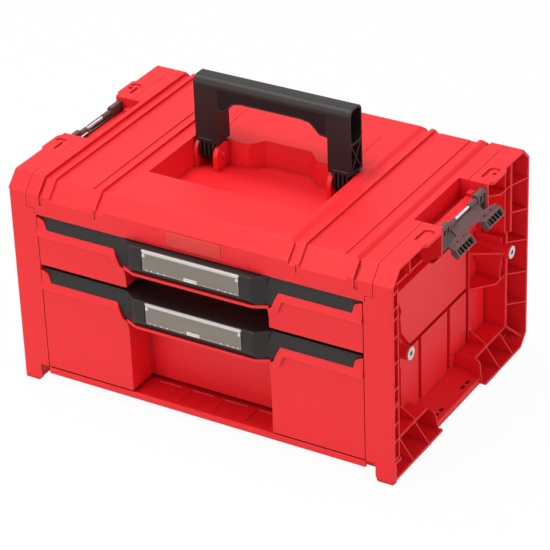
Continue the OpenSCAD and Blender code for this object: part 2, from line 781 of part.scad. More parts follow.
module latch_bracket() {
    y0 = latch_y - latch_half + 1.2;
    y1 = latch_y + latch_half - 1.2;
    difference() {
        union() {
            // back plate in front of the recess
            block([bracket_x, y0, 207.5], [bracket_x + 1.8, y1, 231]);
            // end posts that hold the pin
            for (y = [y0, y1 - post_l])
                along_y(y, y + post_l, [
                    [bracket_x, 226], [bracket_x + 5, 226], [side_x - 0.8, 231],
                    [side_x - 0.8, 237.6], [side_x - 2.8, 240.4], [bracket_x + 0.6, 240.4],
                    [bracket_x, 239]
                ]);
            // end webs
            for (y = [y0, y1 - 2])
                along_y(y, y + 2, [
                    [bracket_x, 207.5], [bracket_x + 3.5, 207.5], [side_x - 1, 222],
                    [side_x - 1, 232], [bracket_x, 232]
                ]);
        }
        translate([latch_pin_x, y0 - 1, latch_pin_z]) rotate([-90, 0, 0])
            cylinder(r = latch_pin_r, h = 2 * latch_half + 2);
        // pockets in the end posts
        for (y = [y0 + 3, y1 - post_l + 3])
            block([bracket_x + 5, y, 225], [side_x, y + 5.5, 237.6]);
        for (y = [y0 + 10.5, y1 - post_l + 10.5])
            block([bracket_x + 5, y, 225], [side_x, y + 5.5, 237.6]);
    }
}

module latch_bracket_right() {
    color(latch_grey) latch_bracket();
}

module latch_bracket_left() {
    color(latch_grey) mirror([1, 0, 0]) latch_bracket();
}

module latch_pin() {
    translate([latch_pin_x, latch_y - latch_half + 2, latch_pin_z]) rotate([-90, 0, 0])
        cylinder(r = latch_pin_r, h = 2 * latch_half - 4);
}

module latch_pin_right() {
    color(steel) latch_pin();
}

module latch_pin_left() {
    color(steel) mirror([1, 0, 0]) latch_pin();
}

// The flap in its own frame: hinge on the axis, plate along +X, outer face up
module latch_flap_flat() {
    in_y = latch_half - 1.2 - post_l - 0.6;
    hook_w = latch_half - hook_in;
    barrel_l = in_y - barrel_in;
    difference() {
        union() {
            // barrels on the pin and the plate that hangs from them
            both_ends() translate([0, barrel_in, 0]) {
                rotate([-90, 0, 0]) cylinder(r = 3, h = barrel_l);
                block([0, 0, -3], [5, barrel_l, -0.6]);
            }
            block([3.6, -in_y, -3], [14, in_y, -0.8]);
            block([8, -11, -3], [16, 11, -0.8]);
            both_ends() {
                // wing that widens to the hook
                along_z(-3, -0.8, [
                    [10, 8], [16, 9.5], [20, hook_in], [25, hook_in], [25, latch_half],
                    [16, latch_half], [13, in_y]
                ]);
                // hook box with slanted ends at the outer edge
                translate([0, hook_in, 0]) hook_box(hook_w);
            }
        }
        both_ends() translate([0, (hook_in + latch_half) / 2, 0]) {
            // row of pockets that takes the rim of a box above, inside an outer lip
            for (i = [-2:2]) translate([0, i * 6.4, 0])
                block([23.1, -2.3, -4.6], [hook_reach - 1.1, 2.3, 3]);
            block([23.1, -15.2, -1.6], [hook_reach - 1.1, 15.2, 3]);
            // two small slots in the plate
            for (y = [-9, 5]) translate([0, y, 0]) block([16.8, -2.3, -4], [18.8, 2.3, 3]);
        }
        rotate([-90, 0, 0]) translate([0, 0, -60]) cylinder(r = latch_pin_r + fit, h = 120);
    }
}

// One hook, from its inner end along Y
module hook_box(w) {
    translate([0, w, 0]) rotate([90, 0, 0]) linear_extrude(w) polygon([
        [19.6, -3], [19.6, 0.2], [21, 1.4], [23.4, 1.4], [hook_reach - 1.4, -0.1],
        [hook_reach, -0.3], [hook_reach, -4.6], [hook_reach - 1.6, -6.2], [21.6, -6.2]
    ]);
}

module latch_flap_shape() {
    translate([latch_pin_x, latch_y, latch_pin_z]) rotate([0, latch_hang, 0]) latch_flap_flat();
}

module latch_flap_right() {
    color(latch_grey) latch_flap_shape();
}

module latch_flap_left() {
    color(latch_grey) mirror([1, 0, 0]) latch_flap_shape();
}

// ---------------------------------------------------------------- drawers

// Red front panel of one side, in front view; z0 is its foot and zt its top edge
function panel_face(z0, zt) = [
    [recess_x, z0], [front_x, z0], [front_x, zt + 13], [front_x - 2, zt + 13],
    [front_x - 8.5, zt + 10], [front_x - 11.5, zt], [recess_x + 12, zt],
    [recess_x + 5, zt - 17], [recess_x, zt - 21]
];

// Raised border along the panel's top edge
function border_face(zt) = [
    [front_x, zt - 8], [front_x, zt + 13], [front_x - 2, zt + 13], [front_x - 8.5, zt + 10],
    [front_x - 11.5, zt], [recess_x + 12, zt], [recess_x + 5, zt - 17], [recess_x, zt - 21],
    [recess_x, zt - 30], [recess_x + 11.4, zt - 22], [recess_x + 17.2, zt - 8]
];

module drawer_tub(z0, zt) {
    inner_x = tub_x - tub_wall;
    side_top = zt + 10;
    color(red) {
        difference() {
            union() {
                // tub with a pod on each side of the finger recess
                along_z(z0, side_top, [
                    [recess_x, front_y + 1], [tub_x, front_y + 1], [tub_x, tub_rear],
                    [-tub_x, tub_rear], [-tub_x, front_y + 1], [-recess_x, front_y + 1],
                    [-recess_x, recess_y], [recess_x, recess_y]
                ]);
            }
            along_z(z0 + tub_wall, side_top + 1, [
                [recess_x + tub_wall, front_y + wall], [inner_x, front_y + wall],
                [inner_x, tub_rear - tub_wall], [-inner_x, tub_rear - tub_wall],
                [-inner_x, front_y + wall], [-recess_x - tub_wall, front_y + wall],
                [-recess_x - tub_wall, recess_y + tub_wall], [recess_x + tub_wall, recess_y + tub_wall]
            ]);
            // the front strip sits in front of the tub's upper edge
            block([-tub_x - 1, front_y - 1, zt], [tub_x + 1, strip_back, side_top + 1]);
            along_y(front_y - 1, strip_back, [
                [-recess_x - 12, zt + 1], [recess_x + 12, zt + 1], [recess_x + 12, zt],
                [recess_x + 5, zt - 17], [recess_x - 1, zt - 21], [-recess_x + 1, zt - 21],
                [-recess_x - 5, zt - 17], [-recess_x - 12, zt]
            ]);
        }
        both_sides() {
            along_y(front_y, front_y + wall, panel_face(z0, zt));
            // the border leans forward to its lower edge
            intersection() {
                along_y(front_y - drawer_lip - 1, front_y + 1, border_face(zt));
                along_x(recess_x - 1, front_x + 1, [
                    [front_y + 1, zt + 14], [front_y - 0.3, zt + 14], [front_y - 0.5, zt],
                    [front_y - drawer_lip, zt - 8], [front_y - drawer_lip, zt - 17],
                    [front_y - 0.2, zt - 31], [front_y + 1, zt - 31]
                ]);
            }
            // return flange beside the post
            block([front_x - wall, front_y + 1, z0], [front_x, front_y + flange_d, zt + 12]);
            block([tub_x - 1, front_y + 1, z0], [front_x, front_y + flange_d, z0 + wall]);
        }
        // lip that carries the grip across the finger recess
        along_z(zt - 20.5, zt - 17.2, [
            [-grip_x, grip_front + 1.5], [grip_x, grip_front + 1.5], [recess_x + 1, front_y - 1.6],
            [recess_x + 1, front_y + 3], [recess_x - 1, front_y + 3], [grip_x - 2, grip_front + 5.5],
            [-grip_x + 2, grip_front + 5.5], [-recess_x + 1, front_y + 3],
            [-recess_x - 1, front_y + 3], [-recess_x - 1, front_y - 1.6]
        ]);
    }
}

// Plan of the middle pull, from the front face to its ends at x
function pull_plan(x) = [
    [-grip_x, grip_front], [grip_x, grip_front], [grip_wing_x, front_y - 1],
    [grip_wing_x + 1.5, front_y - 0.5], [x, front_y - 0.5], [x, strip_back - gap],
    [-x, strip_back - gap], [-x, front_y - 0.5], [-grip_wing_x - 1.5, front_y - 0.5],
    [-grip_wing_x, front_y - 1]
];

// Grip of a drawer: strips on both sides and a stepped pull in the middle
module drawer_grip(zt) {
    top = zt + grip_top;
    low = zt - 16.9;
    strip_low = zt + strip_gap;
    z_window = top - window_drop - window_h;
    color(dark) difference() {
        union() {
            // strips that rest on the red panels
            intersection() {
                along_x(-front_x, front_x, [
                    [front_y - 0.5, strip_low], [front_y + 0.5, zt + 5.5], [front_y + 2.2, zt + 12],
                    [front_y + 2.2, top], [strip_back - gap, top], [strip_back - gap, strip_low]
                ]);
                both_sides() along_y(front_y - 5, strip_back, [
                    [recess_x - 4, strip_low], [front_x - 12, strip_low], [front_x - 9, zt + 10.4],
                    [front_x - 2.2, zt + 13.4], [front_x - 2.2, top], [recess_x - 4, top]
                ]);
            }
            // middle pull
            intersection() {
                union() {
                    along_z(low, strip_low, pull_plan(recess_x + 11));
                    along_z(strip_low - eps, top, pull_plan(grip_wing_x + 2));
                }
                along_y(grip_front - 1, strip_back, [
                    [-recess_x - 11.6, top], [-recess_x - 11.6, strip_low],
                    [-recess_x - 4.8, low + 0.4], [-recess_x - 4, low], [recess_x + 4, low],
                    [recess_x + 4.8, low + 0.4], [recess_x + 11.6, strip_low], [recess_x + 11.6, top]
                ]);
                along_x(-front_x, front_x, [
                    [grip_front, top - 3], [grip_front, zt - 9], [grip_front + 4, low],
                    [strip_back, low], [strip_back, top], [grip_front + 1.5, top]
                ]);
            }
            // plate over the finger recess
            block([-recess_x - 1, front_y, top - 3], [recess_x + 1, recess_y + tub_wall, top]);
            for (x = [-60, 0, 60])
                block([x - 1, front_y, top - 6], [x + 1, recess_y - 1, top - 2]);
        }
        // hollow behind the pull, open below
        along_z(low - 1, top - 3, [
            [-grip_x + 1, grip_front + grip_wall], [grip_x - 1, grip_front + grip_wall],
            [recess_x - 5, front_y + 3], [recess_x - 5, strip_back + 1],
            [-recess_x + 5, strip_back + 1], [-recess_x + 5, front_y + 3]
        ]);
        // recess and hinge seats of the label window
        block([-window_w / 2 - 0.5, grip_front - 1, z_window - 0.5],
              [window_w / 2 + 0.5, grip_front + 2.4, top - window_drop + 0.4]);
        block([-window_w / 2 - 0.5, grip_front - 1, top - window_drop - bar_h + 0.4],
              [window_w / 2 + 0.5, grip_front + 3.2, top - window_drop + 0.4]);
    }
}

module label_card(zt) {
    top = zt + grip_top - window_drop;
    color([0.78, 0.76, 0.72])
        block([-window_w / 2 + 2, grip_front + 1.9, top - window_h + 2],
              [window_w / 2 - 2, grip_front + 2.4, top - bar_h - 2]);
}

// Clear flap over the label, with the thick hinge bar along its top
module label_cover(zt) {
    top = zt + grip_top - window_drop;
    x = window_w / 2 - 0.2;
    color([0.62, 0.60, 0.57, 0.6]) difference() {
        union() {
            block([-x, grip_front + 0.5, top - window_h], [x, grip_front + 1.7, top - 1]);
            translate([-x, grip_front + hinge_r, top - hinge_r]) rotate([0, 90, 0])
                cylinder(r = hinge_r, h = 2 * x);
            block([-x, grip_front, top - bar_h], [x, grip_front + 1.7, top - hinge_r]);
            // pull tab in the middle of the lower edge
            block([-7, grip_front, top - window_h], [7, grip_front + 1, top - window_h + 2]);
        }
        translate([-x - 1, grip_front + hinge_r, top - hinge_r]) rotate([0, 90, 0])
            cylinder(r = 0.7 + fit, h = 6);
        translate([x - 5, grip_front + hinge_r, top - hinge_r]) rotate([0, 90, 0])
            cylinder(r = 0.7 + fit, h = 6);
    }
}

module label_pins(zt) {
    top = zt + grip_top - window_drop;
    color(steel) both_sides()
        translate([window_w / 2 - 4, grip_front + hinge_r, top - hinge_r]) rotate([0, 90, 0])
            cylinder(r = 0.7, h = 4.5);
}

module top_drawer_tub() {
    drawer_tub(top_drawer_z, top_edge_z);
}

module top_drawer_grip() {
    drawer_grip(top_edge_z);
}

module top_label_card() {
    label_card(top_edge_z);
}

module top_label_cover() {
    label_cover(top_edge_z);
}

module top_label_pins() {
    label_pins(top_edge_z);
}

module bottom_drawer_tub() {
    drawer_tub(bottom_drawer_z, bottom_edge_z);
}

module bottom_drawer_grip() {
    drawer_grip(bottom_edge_z);
}

module bottom_label_card() {
    label_card(bottom_edge_z);
}

module bottom_label_cover() {
    label_cover(bottom_edge_z);
}

module bottom_label_pins() {
    label_pins(bottom_edge_z);
}

// ---------------------------------------------------------------- drawer slides

// A channel that lies along Y: web at x, lips pointing to -X
module channel(x, z, half_h, lip, y0, length) {
    t = rail_t;
    block([x - t, y0, z - half_h], [x, y0 + length, z + half_h]);
    for (side = [-1, 1])
        translate([0, 0, z + side * (half_h - t / 2)])
            block([x - t - lip, y0, -t / 2], [x - t + eps, y0 + length, t / 2]);
}

module outer_rail(z) {
    color(steel) channel(sheet_in, z, rail_h / 2, 8.6, rail_y, rail_l);
}

module middle_rail(z) {
    color(steel) channel(sheet_in - 3.4, z, rail_h / 2 - 4.5, 6.2, rail_y, rail_l - 4);
}

// The inner channel faces the other way, with its web on the drawer
module inner_rail(z) {
    t = rail_t;
    half_h = rail_h / 2 - 9;
    color(steel) {
        block([tub_x, rail_y - 8, z - half_h], [tub_x + t, rail_y + rail_l - 14, z + half_h]);
        for (side = [-1, 1])
            translate([0, 0, z + side * (half_h - t / 2)])
                block([tub_x + t - eps, rail_y - 8, -t / 2],
                      [tub_x + 6.4, rail_y + rail_l - 14, t / 2]);
    }
}

// Balls in their strips, above and below the middle rail's lips
module ball_row(x, z, y0) {
    block([x - 0.4, y0, z - 0.9], [x + 0.4, y0 + 96, z + 0.9]);
    for (i = [0:5]) translate([x, y0 + 8 + i * 16, z]) sphere(d = ball_d, $fn = 24);
}

module ball_cage(z) {
    x = tub_x + 4.6;
    color([0.65, 0.62, 0.55])
        for (side = [-1, 1]) {
            ball_row(x, z + side * (rail_h / 2 - 2.85), rail_y + 156);
            ball_row(x, z + side * (rail_h / 2 - 7.35), rail_y + 4);
        }
}

module top_outer_rail_right() {
    outer_rail(top_rail_z);
}

module top_outer_rail_left() {
    mirror([1, 0, 0]) outer_rail(top_rail_z);
}

module top_middle_rail_right() {
    middle_rail(top_rail_z);
}

module top_middle_rail_left() {
    mirror([1, 0, 0]) middle_rail(top_rail_z);
}

module top_inner_rail_right() {
    inner_rail(top_rail_z);
}

module top_inner_rail_left() {
    mirror([1, 0, 0]) inner_rail(top_rail_z);
}

module top_ball_cage_right() {
    ball_cage(top_rail_z);
}

module top_ball_cage_left() {
    mirror([1, 0, 0]) ball_cage(top_rail_z);
}

module bottom_outer_rail_right() {
    outer_rail(bottom_rail_z);
}

module bottom_outer_rail_left() {
    mirror([1, 0, 0]) outer_rail(bottom_rail_z);
}

module bottom_middle_rail_right() {
    middle_rail(bottom_rail_z);
}

module bottom_middle_rail_left() {
    mirror([1, 0, 0]) middle_rail(bottom_rail_z);
}

module bottom_inner_rail_right() {
    inner_rail(bottom_rail_z);
}

module bottom_inner_rail_left() {
    mirror([1, 0, 0]) inner_rail(bottom_rail_z);
}

module bottom_ball_cage_right() {
    ball_cage(bottom_rail_z);
}

module bottom_ball_cage_left() {
    mirror([1, 0, 0]) ball_cage(bottom_rail_z);
}

// ---------------------------------------------------------------- assembly

lid();
badge_plate();
side_frame_right();
side_frame_left();
rear_wall();
floor_tray();
base_pads();
side_washers();
side_screws();
handle_frame();
handle_grip_inserts();
handle_pins();
latch_bracket_right();
latch_bracket_left();
latch_pin_right();
latch_pin_left();
latch_flap_right();
latch_flap_left();
top_drawer_tub();
top_drawer_grip();
top_label_card();
top_label_cover();
top_label_pins();
bottom_drawer_tub();
bottom_drawer_grip();
bottom_label_card();
bottom_label_cover();
bottom_label_pins();
top_outer_rail_right();
top_outer_rail_left();
top_middle_rail_right();
top_middle_rail_left();
top_inner_rail_right();
top_inner_rail_left();
top_ball_cage_right();
top_ball_cage_left();
bottom_outer_rail_right();
bottom_outer_rail_left();
bottom_middle_rail_right();
bottom_middle_rail_left();
bottom_inner_rail_right();
bottom_inner_rail_left();
bottom_ball_cage_right();
bottom_ball_cage_left();
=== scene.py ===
"""Looks of the portable drawer tool box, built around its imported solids.

The case is red moulded plastic with fine grain, the handle and the drawer grips
are black, the latches are dark grey, and the small metal parts are plated steel.
"""

import json
import logging
import math
from dataclasses import dataclass, field
from enum import Enum
from typing import Any, Callable, Sequence

import bpy
from mathutils import Matrix, Vector


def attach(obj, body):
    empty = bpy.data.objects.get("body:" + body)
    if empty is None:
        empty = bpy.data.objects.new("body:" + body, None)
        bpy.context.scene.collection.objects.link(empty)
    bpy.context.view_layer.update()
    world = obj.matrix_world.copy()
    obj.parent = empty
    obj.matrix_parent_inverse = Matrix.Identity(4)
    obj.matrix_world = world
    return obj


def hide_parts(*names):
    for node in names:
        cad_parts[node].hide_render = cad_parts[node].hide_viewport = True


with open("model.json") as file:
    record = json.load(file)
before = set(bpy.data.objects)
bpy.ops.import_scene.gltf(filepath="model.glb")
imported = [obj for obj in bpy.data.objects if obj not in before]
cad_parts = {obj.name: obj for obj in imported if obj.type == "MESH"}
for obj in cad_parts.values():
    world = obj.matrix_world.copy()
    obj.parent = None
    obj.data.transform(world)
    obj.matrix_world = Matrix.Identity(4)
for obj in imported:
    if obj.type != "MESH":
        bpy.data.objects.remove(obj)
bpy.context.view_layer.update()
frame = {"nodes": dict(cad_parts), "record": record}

log = logging.getLogger("tool_box")

Colour = tuple[float, float, float]
Point = tuple[float, float, float]

# points closer than this, in metres, are merged before the edges are rounded
SAME_POINT = 0.000002
# how far the painted edge highlight and the painted shade in the creases of the plastics reach, in
# metres
EDGE_HIGHLIGHT_REACH = 0.0009
CREASE_REACH = 0.006
# slope and start of the painted-shade mask over the share of open sky
CREASE_GAIN = 1.6
CREASE_START = 0.45
# numbers of a Mix node's colour sockets, which share their names with others
MIX_LOW, MIX_HIGH, MIX_RESULT = 6, 7, 2
WARM_WHITE: Colour = (1.0, 0.965, 0.9)
PURE_WHITE: Colour = (1.0, 1.0, 1.0)
# where the studs of a label window stand along X, in metres
STUD_PLACES = (-0.052, -0.046, -0.0385, -0.031, 0.033, 0.041, 0.0475, 0.053)


# ------------------------------------------------------------------ shaders


class Field:
    """A number that varies over a surface; Python operators add Math nodes."""

    def __init__(self, graph: "Graph", socket: bpy.types.NodeSocket | None) -> None:
        """Wraps one output socket.

        Args:
            graph: The node graph that the socket belongs to.
            socket: The output that carries the number, none for an end node.
        """
        self.graph = graph
        self.socket = socket

    def _math(self, operation: str, first: Any, second: Any) -> "Field":
        """Adds one Math node.

        Args:
            operation: Blender's name of the operation.
            first: A Field or a number.
            second: A Field or a number.

        Returns:
            The node's result.
        """
        return self.graph.add(
            "ShaderNodeMath", {"operation": operation}, {0: first, 1: second}
        )

    def __add__(self, other: Any) -> "Field":
        """Sum."""
        return self._math("ADD", self, other)

    __radd__ = __add__

    def __sub__(self, other: Any) -> "Field":
        """Difference."""
        return self._math("SUBTRACT", self, other)

    def __rsub__(self, other: Any) -> "Field":
        """Difference with the number first."""
        return self._math("SUBTRACT", other, self)

    def __mul__(self, other: Any) -> "Field":
        """Product."""
        return self._math("MULTIPLY", self, other)

    __rmul__ = __mul__

    def clamped(self) -> "Field":
        """The value held between 0 and 1."""
        return self._math("MAXIMUM", self._math("MINIMUM", self, 1.0), 0.0)

    def larger(self, other: "Field") -> "Field":
        """The larger one of two values."""
        return self._math("MAXIMUM", self, other)


class Graph:
    """The node graph of one material or of the world."""

    def __init__(self, owner: bpy.types.Material | bpy.types.World) -> None:
        """Starts with no nodes.

        Args:
            owner: The material or world that the graph is for.
        """
        owner.use_nodes = True
        self.tree = owner.node_tree
        self.tree.nodes.clear()

    def add(
        self,
        kind: str,
        settings: dict[str, Any] | None = None,
        inputs: dict[Any, Any] | None = None,
        output: Any = 0,
    ) -> Field:
        """Adds a node, sets it up and links or fills its sockets.

        Args:
            kind: Blender's identifier of the node.
            settings: Attributes of the node, set first.
            inputs: Socket name or index against a Field or a value.
            output: Name or index of the output that is returned.

        Returns:
            The chosen output.
        """
        node = self.tree.nodes.new(kind)
        for key, value in (settings or {}).items():
            setattr(node, key, value)
        for key, value in (inputs or {}).items():
            socket = node.inputs[key]
            if isinstance(value, Field):
                self.tree.links.new(value.socket, socket)
            else:
                socket.default_value = value
        return Field(self, node.outputs[output]) if node.outputs else Field(self, None)

    def place(self, scale: Point = (1.0, 1.0, 1.0)) -> Field:
        """Object coordinates, scaled.

        Args:
            scale: Factor along each axis.

        Returns:
            The vector output.
        """
        coords = self.add("ShaderNodeTexCoord", output="Object")
        if scale == (1.0, 1.0, 1.0):
            return coords
        return self.add(
            "ShaderNodeMapping", {"vector_type": "POINT"}, {"Vector": coords, "Scale": scale}
        )

    def noise(self, scale: float, detail: float, where: Field | None = None) -> Field:
        """Fractal noise from 0 to 1.

        Args:
            scale: Cells per metre.
            detail: Octaves.
            where: Vector to read, object coordinates if left out.

        Returns:
            The noise value.
        """
        return self.add(
            "ShaderNodeTexNoise",
            {"noise_dimensions": "3D"},
            {"Vector": where or self.place(), "Scale": scale, "Detail": detail},
        )

    def mix(self, factor: Any, low: Any, high: Any) -> Field:
        """Blend of two colours.

        Args:
            factor: 0 gives low and 1 gives high.
            low: Colour or Field.
            high: Colour or Field.

        Returns:
            The blended colour.
        """
        return self.add(
            "ShaderNodeMix",
            {"data_type": "RGBA", "blend_type": "MIX"},
            {0: factor, MIX_LOW: low, MIX_HIGH: high},
            output=MIX_RESULT,
        )

    def edges(self, radius: float, gain: float) -> Field:
        """Mask of the convex and concave edges.

        Args:
            radius: How far from the edge the mask reaches, in metres.
            gain: Factor on the raw difference of normals.

        Returns:
            0 on flat ground and up to 1 on edges.
        """
        rounded = self.add("ShaderNodeBevel", {"samples": 6}, {"Radius": radius})
        flat = self.add("ShaderNodeNewGeometry", output="Normal")
        same = self.add(
            "ShaderNodeVectorMath", {"operation": "DOT_PRODUCT"}, {0: rounded, 1: flat}, "Value"
        )
        return ((1.0 - same) * gain).clamped()

    def open_air(self, reach: float) -> Field:
        """Mask of the open surface, which places the painted shade in creases.

        Args:
            reach: How far a neighbouring wall still counts, in metres.

        Returns:
            0 deep in creases and slots, and 1 in the open.
        """
        air = self.add("ShaderNodeAmbientOcclusion", {"samples": 4}, {"Distance": reach}, "AO")
        return (air * CREASE_GAIN - CREASE_START).clamped()

    def bump(self, height: Field, distance: float) -> Field:
        """Normal disturbed by a height.

        Args:
            height: Height from 0 to 1.
            distance: Height of 1, in metres.

        Returns:
            The normal.
        """
        return self.add(
            "ShaderNodeBump", {}, {"Height": height, "Distance": distance, "Strength": 1.0}
        )

    def ray(self, kind: str) -> Field:
        """1 for one kind of ray, else 0.

        Args:
            kind: Camera, Glossy or Transmission.

        Returns:
            The value.
        """
        return self.add("ShaderNodeLightPath", output=f"Is {kind} Ray")

    def surface(self, fields: dict[str, Any]) -> None:
        """Closes the graph with a Principled shader.

        Args:
            fields: Sockets of the shader against Fields or constants.
        """
        shader = self.add("ShaderNodeBsdfPrincipled", {}, fields)
        self.add("ShaderNodeOutputMaterial", {}, {"Surface": shader})


def opaque(colour: Colour) -> tuple[float, float, float, float]:
    """A colour with full alpha."""
    return (*colour, 1.0)


def darker(colour: Colour, share: float) -> tuple[float, float, float, float]:
    """A share of a colour, with full alpha."""
    return opaque(tuple(share * c for c in colour))


@dataclass(frozen=True)
class MouldedPlastic:
    """Injection-moulded plastic with grain, painted highlights along its edges and, on some, painted
    shade in its creases.
    """

    name: str
    colour: Colour
    shade: Colour
    edge: Colour
    roughness: float
    grain: float = 0.00002
    highlight_gain: float = 1.6
    specular: float = 0.5
    painted_crease_shade: Colour | None = None

    def paint(self, g: Graph) -> None:
        """Draws the material's nodes.

        Args:
            g: The material's graph.
        """
        cloud = g.noise(scale=9.0, detail=4.0)
        speckle = g.noise(scale=900.0, detail=2.0)
        flow = g.noise(scale=60.0, detail=3.0, where=g.place((1.0, 1.0, 0.25)))
        tone = (cloud * 0.7 + speckle * 0.3).clamped()
        body = g.mix(tone, opaque(self.shade), opaque(self.colour))
        # painted highlight: the edges are lightened towards the edge colour, as if they caught the
        # light
        painted_highlight = g.edges(EDGE_HIGHLIGHT_REACH, self.highlight_gain) * (0.55 + 0.45 * cloud)
        # painted shade: creases and slots darken towards the crease colour
        if self.painted_crease_shade:
            body = g.mix(g.open_air(CREASE_REACH), opaque(self.painted_crease_shade), body)
        base = g.mix(painted_highlight, body, opaque(self.edge))
        rough = self.roughness + 0.12 * (cloud - 0.5) + 0.10 * (speckle - 0.5)
        height = speckle * 0.6 + flow * 0.4
        g.surface(
            {
                "Base Color": base,
                "Roughness": rough,
                "Specular IOR Level": self.specular,
                "Normal": g.bump(height, self.grain),
            }
        )


@dataclass(frozen=True)
class PlatedSteel:
    """Bright zinc plate with fine drawn lines."""

    name: str
    colour: Colour
    roughness: float

    def paint(self, g: Graph) -> None:
        """Draws the material's nodes.

        Args:
            g: The material's graph.
        """
        lines = g.noise(scale=220.0, detail=3.0, where=g.place((1.0, 0.04, 1.0)))
        spangle = g.noise(scale=150.0, detail=2.0)
        base = g.mix(spangle, darker(self.colour, 0.82), opaque(self.colour))
        rough = self.roughness + 0.16 * (lines - 0.5) + 0.1 * (spangle - 0.5)
        g.surface(
            {
                "Base Color": base,
                "Metallic": 1.0,
                "Roughness": rough,
                "Normal": g.bump(lines, 0.000015),
            }
        )


@dataclass(frozen=True)
class BrushedFace:
    """Grey label face seen through its cover, with long soft streaks."""

    name: str
    colour: Colour
    shade: Colour
    edge: Colour

    def paint(self, g: Graph) -> None:
        """Draws the material's nodes.

        Args:
            g: The material's graph.
        """
        streak = g.noise(scale=40.0, detail=4.0, where=g.place((0.25, 1.0, 2.5)))
        grain = g.noise(scale=1200.0, detail=2.0)
        body = g.mix(streak, opaque(self.shade), opaque(self.colour))
        # painted highlight: the face's edges are lightened towards the edge colour
        painted_highlight = g.edges(radius=0.0011, gain=3.0)
        g.surface(
            {
                "Base Color": g.mix(painted_highlight, body, opaque(self.edge)),
                "Roughness": 0.3 + 0.2 * streak,
                "Metallic": 0.25 * streak,
                "Normal": g.bump(grain, 0.00001),
            }
        )


@dataclass(frozen=True)
class FrostedClear:
    """Clear plastic with a light frosting."""

    name: str
    colour: Colour
    alpha: float

    def paint(self, g: Graph) -> None:
        """Draws the material's nodes.

        Args:
            g: The material's graph.
        """
        haze = g.noise(scale=70.0, detail=3.0)
        g.surface(
            {
                "Base Color": g.mix(haze, darker(self.colour, 0.8), opaque(self.colour)),
                "Roughness": 0.16 + 0.12 * haze,
                "Alpha": self.alpha + 0.15 * (haze - 0.5),
                "Normal": g.bump(haze, 0.00003),
            }
        )


@dataclass(frozen=True)
class PlainCard:
    """Bare label card with paper fibre."""

    name: str
    colour: Colour

    def paint(self, g: Graph) -> None:
        """Draws the material's nodes.

        Args:
            g: The material's graph.
        """
        fibre = g.noise(scale=1500.0, detail=3.0, where=g.place((1.0, 1.0, 0.2)))
        tone = g.mix(fibre, darker(self.colour, 0.85), opaque(self.colour))
        g.surface(
            {"Base Color": tone, "Roughness": 0.75, "Normal": g.bump(fibre, 0.00002)}
        )


class Finish(Enum):
    """The finishes of the tool box, by the record's material slots."""

    # each finish's edge colour is a painted highlight along its edges; the crease colour of the red
    # and grey plastics is painted shade
    RED = MouldedPlastic(
        "red_moulded_plastic", colour=(0.86, 0.006, 0.0145), shade=(0.79, 0.003, 0.013),
        edge=(1.0, 0.22, 0.2), roughness=0.54, highlight_gain=2.1, painted_crease_shade=(0.42, 0.0004, 0.009),
    )
    BADGE = MouldedPlastic(
        "bare_badge_plate", colour=(0.76, 0.028, 0.02), shade=(0.66, 0.02, 0.016),
        edge=(1.0, 0.36, 0.3), roughness=0.42, grain=0.00001, highlight_gain=2.4,
    )
    BLACK = MouldedPlastic(
        "black_moulded_plastic", colour=(0.014, 0.011, 0.0115), shade=(0.009, 0.007, 0.0075),
        edge=(0.16, 0.15, 0.15), roughness=0.48, grain=0.00003, highlight_gain=1.3, specular=0.34,
    )
    SOFT = MouldedPlastic(
        "soft_black_grip", colour=(0.009, 0.006, 0.0065), shade=(0.006, 0.0045, 0.005),
        edge=(0.26, 0.24, 0.24), roughness=0.62, grain=0.00004, specular=0.22,
    )
    GREY = MouldedPlastic(
        "grey_glass_filled_plastic", colour=(0.155, 0.08, 0.082), shade=(0.1, 0.052, 0.055),
        edge=(0.62, 0.5, 0.48), roughness=0.55, grain=0.00004, highlight_gain=2.0, specular=0.35,
        painted_crease_shade=(0.012, 0.007, 0.008),
    )
    RUBBER = MouldedPlastic(
        "dark_pad_rubber", colour=(0.05, 0.035, 0.035), shade=(0.03, 0.022, 0.022),
        edge=(0.1, 0.08, 0.08), roughness=0.75,
    )
    STEEL = PlatedSteel("bright_zinc_plate", colour=(0.86, 0.86, 0.87), roughness=0.28)
    DARK_STEEL = PlatedSteel("dark_socket_steel", colour=(0.09, 0.08, 0.1), roughness=0.4)
    SATIN_STEEL = PlatedSteel("satin_washer_steel", colour=(0.66, 0.65, 0.65), roughness=0.42)
    SILVER = MouldedPlastic(
        "pale_silver_bar", colour=(0.70, 0.68, 0.665), shade=(0.56, 0.545, 0.535),
        edge=(0.97, 0.96, 0.95), roughness=0.3, grain=0.00001, highlight_gain=2.2,
    )
    FACE = BrushedFace(
        "grey_window_face", colour=(0.25, 0.22, 0.195), shade=(0.17, 0.15, 0.13),
        edge=(0.6, 0.57, 0.55),
    )
    CLEAR = FrostedClear("frosted_clear_plastic", colour=(0.62, 0.60, 0.58), alpha=0.45)
    CARD = PlainCard("plain_label_card", colour=(0.36, 0.34, 0.32))


class Wardrobe:
    """Keeps one material for each finish."""

    def __init__(self) -> None:
        """Starts empty."""
        self._made: dict[Finish, bpy.types.Material] = {}

    def get(self, finish: Finish) -> bpy.types.Material:
        """The material of a finish, made on first use.

        Args:
            finish: The finish.

        Returns:
            The material.
        """
        if finish not in self._made:
            material = bpy.data.materials.new(finish.value.name)
            finish.value.paint(Graph(material))
            self._made[finish] = material
        return self._made[finish]

    def dress(self, piece: bpy.types.Object, finish: Finish) -> None:
        """Gives a piece one finish.

        Args:
            piece: The object.
            finish: The finish.
        """
        piece.data.materials.clear()
        piece.data.materials.append(self.get(finish))


WARDROBE = Wardrobe()

